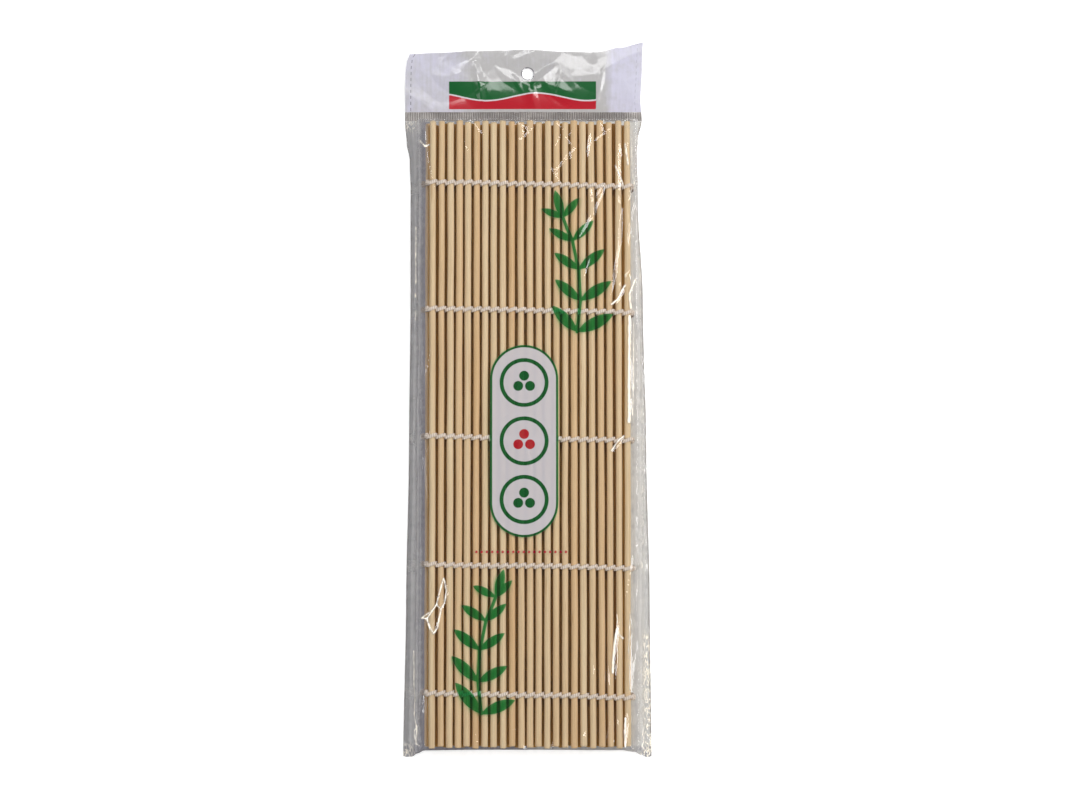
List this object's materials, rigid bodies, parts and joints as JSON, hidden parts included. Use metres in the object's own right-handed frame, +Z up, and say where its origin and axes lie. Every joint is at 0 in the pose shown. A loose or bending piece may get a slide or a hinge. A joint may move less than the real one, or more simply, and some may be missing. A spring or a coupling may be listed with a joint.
{
  "type": "sushi rolling mat",
  "caption": "Bamboo slat mat twined with cotton string, rolled flat in layers and sealed in a clear header bag with a hang hole; curls across its slats.",
  "frame": {"origin": "middle of the bag's footprint, on the surface the pack lies on", "axes": "+Z up out of the printed side, +Y along the slats towards the header, +X to the right seen from the front"},
  "size_m": [0.0956, 0.277, 0.0126],
  "materials": {
    "bamboo": "satin",
    "bamboo_under": "satin",
    "cotton_string": "matte",
    "clear_film": "gloss",
    "back_film": "gloss",
    "header_film": "gloss",
    "sealed_film": "gloss"
  },
  "bodies": {
    "column_01": {"top_slat_01": "bamboo", "lower_slats_01": "bamboo_under"},
    "column_02": {"top_slat_02": "bamboo", "lower_slats_02": "bamboo_under"},
    "column_03": {"top_slat_03": "bamboo", "lower_slats_03": "bamboo_under"},
    "column_04": {"top_slat_04": "bamboo", "lower_slats_04": "bamboo_under"},
    "column_05": {"top_slat_05": "bamboo", "lower_slats_05": "bamboo_under"},
    "column_06": {"top_slat_06": "bamboo", "lower_slats_06": "bamboo_under"},
    "column_07": {"top_slat_07": "bamboo", "lower_slats_07": "bamboo_under"},
    "column_08": {"top_slat_08": "bamboo", "lower_slats_08": "bamboo_under"},
    "column_09": {"top_slat_09": "bamboo", "lower_slats_09": "bamboo_under"},
    "column_10": {"top_slat_10": "bamboo", "lower_slats_10": "bamboo_under"},
    "column_11": {"top_slat_11": "bamboo", "lower_slats_11": "bamboo_under"},
    "column_12": {"top_slat_12": "bamboo", "lower_slats_12": "bamboo_under", "string_row_1": "cotton_string", "string_row_2": "cotton_string", "string_row_3": "cotton_string", "string_row_4": "cotton_string", "string_row_5": "cotton_string", "back_film": "back_film", "front_film": "clear_film", "side_weld_left": "sealed_film", "side_weld_right": "sealed_film", "ribbed_seal": "sealed_film", "header": "header_film"},
    "column_13": {"top_slat_13": "bamboo", "lower_slats_13": "bamboo_under"},
    "column_14": {"top_slat_14": "bamboo", "lower_slats_14": "bamboo_under"},
    "column_15": {"top_slat_15": "bamboo", "lower_slats_15": "bamboo_under"},
    "column_16": {"top_slat_16": "bamboo", "lower_slats_16": "bamboo_under"},
    "column_17": {"top_slat_17": "bamboo", "lower_slats_17": "bamboo_under"},
    "column_18": {"top_slat_18": "bamboo", "lower_slats_18": "bamboo_under"},
    "column_19": {"top_slat_19": "bamboo", "lower_slats_19": "bamboo_under"},
    "column_20": {"top_slat_20": "bamboo", "lower_slats_20": "bamboo_under"},
    "column_21": {"top_slat_21": "bamboo", "lower_slats_21": "bamboo_under"},
    "column_22": {"top_slat_22": "bamboo", "lower_slats_22": "bamboo_under"},
    "column_23": {"top_slat_23": "bamboo", "lower_slats_23": "bamboo_under"}
  },
  "joints": [
    {"name": "roll_12_13", "type": "hinge", "parent": "column_12", "child": "column_13", "pos_m": [0.00255, 0, 0.00632], "axis": [0, -1, 0], "range_deg": [-8, 8], "deforming": ["string_row_1", "string_row_2", "string_row_3", "string_row_4", "string_row_5", "back_film", "front_film", "side_weld_left", "side_weld_right", "ribbed_seal", "header"]},
    {"name": "roll_13_14", "type": "hinge", "parent": "column_13", "child": "column_14", "pos_m": [0.00595, 0, 0.00632], "axis": [0, -1, 0], "range_deg": [-8, 8]},
    {"name": "roll_14_15", "type": "hinge", "parent": "column_14", "child": "column_15", "pos_m": [0.00935, 0, 0.00632], "axis": [0, -1, 0], "range_deg": [-8, 8]},
    {"name": "roll_15_16", "type": "hinge", "parent": "column_15", "child": "column_16", "pos_m": [0.01275, 0, 0.00632], "axis": [0, -1, 0], "range_deg": [-8, 8]},
    {"name": "roll_16_17", "type": "hinge", "parent": "column_16", "child": "column_17", "pos_m": [0.01615, 0, 0.00632], "axis": [0, -1, 0], "range_deg": [-8, 8]},
    {"name": "roll_17_18", "type": "hinge", "parent": "column_17", "child": "column_18", "pos_m": [0.01955, 0, 0.00632], "axis": [0, -1, 0], "range_deg": [-8, 8]},
    {"name": "roll_18_19", "type": "hinge", "parent": "column_18", "child": "column_19", "pos_m": [0.02295, 0, 0.00632], "axis": [0, -1, 0], "range_deg": [-8, 8]},
    {"name": "roll_19_20", "type": "hinge", "parent": "column_19", "child": "column_20", "pos_m": [0.02635, 0, 0.00632], "axis": [0, -1, 0], "range_deg": [-8, 8]},
    {"name": "roll_20_21", "type": "hinge", "parent": "column_20", "child": "column_21", "pos_m": [0.02975, 0, 0.00632], "axis": [0, -1, 0], "range_deg": [-8, 8]},
    {"name": "roll_21_22", "type": "hinge", "parent": "column_21", "child": "column_22", "pos_m": [0.03315, 0, 0.00632], "axis": [0, -1, 0], "range_deg": [-8, 8]},
    {"name": "roll_22_23", "type": "hinge", "parent": "column_22", "child": "column_23", "pos_m": [0.03655, 0, 0.00632], "axis": [0, -1, 0], "range_deg": [-8, 8]},
    {"name": "roll_12_11", "type": "hinge", "parent": "column_12", "child": "column_11", "pos_m": [-0.00085, 0, 0.00632], "axis": [0, 1, 0], "range_deg": [-8, 8]},
    {"name": "roll_11_10", "type": "hinge", "parent": "column_11", "child": "column_10", "pos_m": [-0.00425, 0, 0.00632], "axis": [0, 1, 0], "range_deg": [-8, 8]},
    {"name": "roll_10_09", "type": "hinge", "parent": "column_10", "child": "column_09", "pos_m": [-0.00765, 0, 0.00632], "axis": [0, 1, 0], "range_deg": [-8, 8]},
    {"name": "roll_09_08", "type": "hinge", "parent": "column_09", "child": "column_08", "pos_m": [-0.01105, 0, 0.00632], "axis": [0, 1, 0], "range_deg": [-8, 8]},
    {"name": "roll_08_07", "type": "hinge", "parent": "column_08", "child": "column_07", "pos_m": [-0.01445, 0, 0.00632], "axis": [0, 1, 0], "range_deg": [-8, 8]},
    {"name": "roll_07_06", "type": "hinge", "parent": "column_07", "child": "column_06", "pos_m": [-0.01785, 0, 0.00632], "axis": [0, 1, 0], "range_deg": [-8, 8]},
    {"name": "roll_06_05", "type": "hinge", "parent": "column_06", "child": "column_05", "pos_m": [-0.02125, 0, 0.00632], "axis": [0, 1, 0], "range_deg": [-8, 8]},
    {"name": "roll_05_04", "type": "hinge", "parent": "column_05", "child": "column_04", "pos_m": [-0.02465, 0, 0.00632], "axis": [0, 1, 0], "range_deg": [-8, 8]},
    {"name": "roll_04_03", "type": "hinge", "parent": "column_04", "child": "column_03", "pos_m": [-0.02805, 0, 0.00632], "axis": [0, 1, 0], "range_deg": [-8, 8]},
    {"name": "roll_03_02", "type": "hinge", "parent": "column_03", "child": "column_02", "pos_m": [-0.03145, 0, 0.00632], "axis": [0, 1, 0], "range_deg": [-8, 8]},
    {"name": "roll_02_01", "type": "hinge", "parent": "column_02", "child": "column_01", "pos_m": [-0.03485, 0, 0.00632], "axis": [0, 1, 0], "range_deg": [-8, 8]}
  ],
  "couplings": [
    {"joint": "roll_13_14", "follows": "roll_12_13", "ratio": 1},
    {"joint": "roll_14_15", "follows": "roll_12_13", "ratio": 1},
    {"joint": "roll_15_16", "follows": "roll_12_13", "ratio": 1},
    {"joint": "roll_16_17", "follows": "roll_12_13", "ratio": 1},
    {"joint": "roll_17_18", "follows": "roll_12_13", "ratio": 1},
    {"joint": "roll_18_19", "follows": "roll_12_13", "ratio": 1},
    {"joint": "roll_19_20", "follows": "roll_12_13", "ratio": 1},
    {"joint": "roll_20_21", "follows": "roll_12_13", "ratio": 1},
    {"joint": "roll_21_22", "follows": "roll_12_13", "ratio": 1},
    {"joint": "roll_22_23", "follows": "roll_12_13", "ratio": 1},
    {"joint": "roll_12_11", "follows": "roll_12_13", "ratio": 1},
    {"joint": "roll_11_10", "follows": "roll_12_13", "ratio": 1},
    {"joint": "roll_10_09", "follows": "roll_12_13", "ratio": 1},
    {"joint": "roll_09_08", "follows": "roll_12_13", "ratio": 1},
    {"joint": "roll_08_07", "follows": "roll_12_13", "ratio": 1},
    {"joint": "roll_07_06", "follows": "roll_12_13", "ratio": 1},
    {"joint": "roll_06_05", "follows": "roll_12_13", "ratio": 1},
    {"joint": "roll_05_04", "follows": "roll_12_13", "ratio": 1},
    {"joint": "roll_04_03", "follows": "roll_12_13", "ratio": 1},
    {"joint": "roll_03_02", "follows": "roll_12_13", "ratio": 1},
    {"joint": "roll_02_01", "follows": "roll_12_13", "ratio": 1}
  ]
}
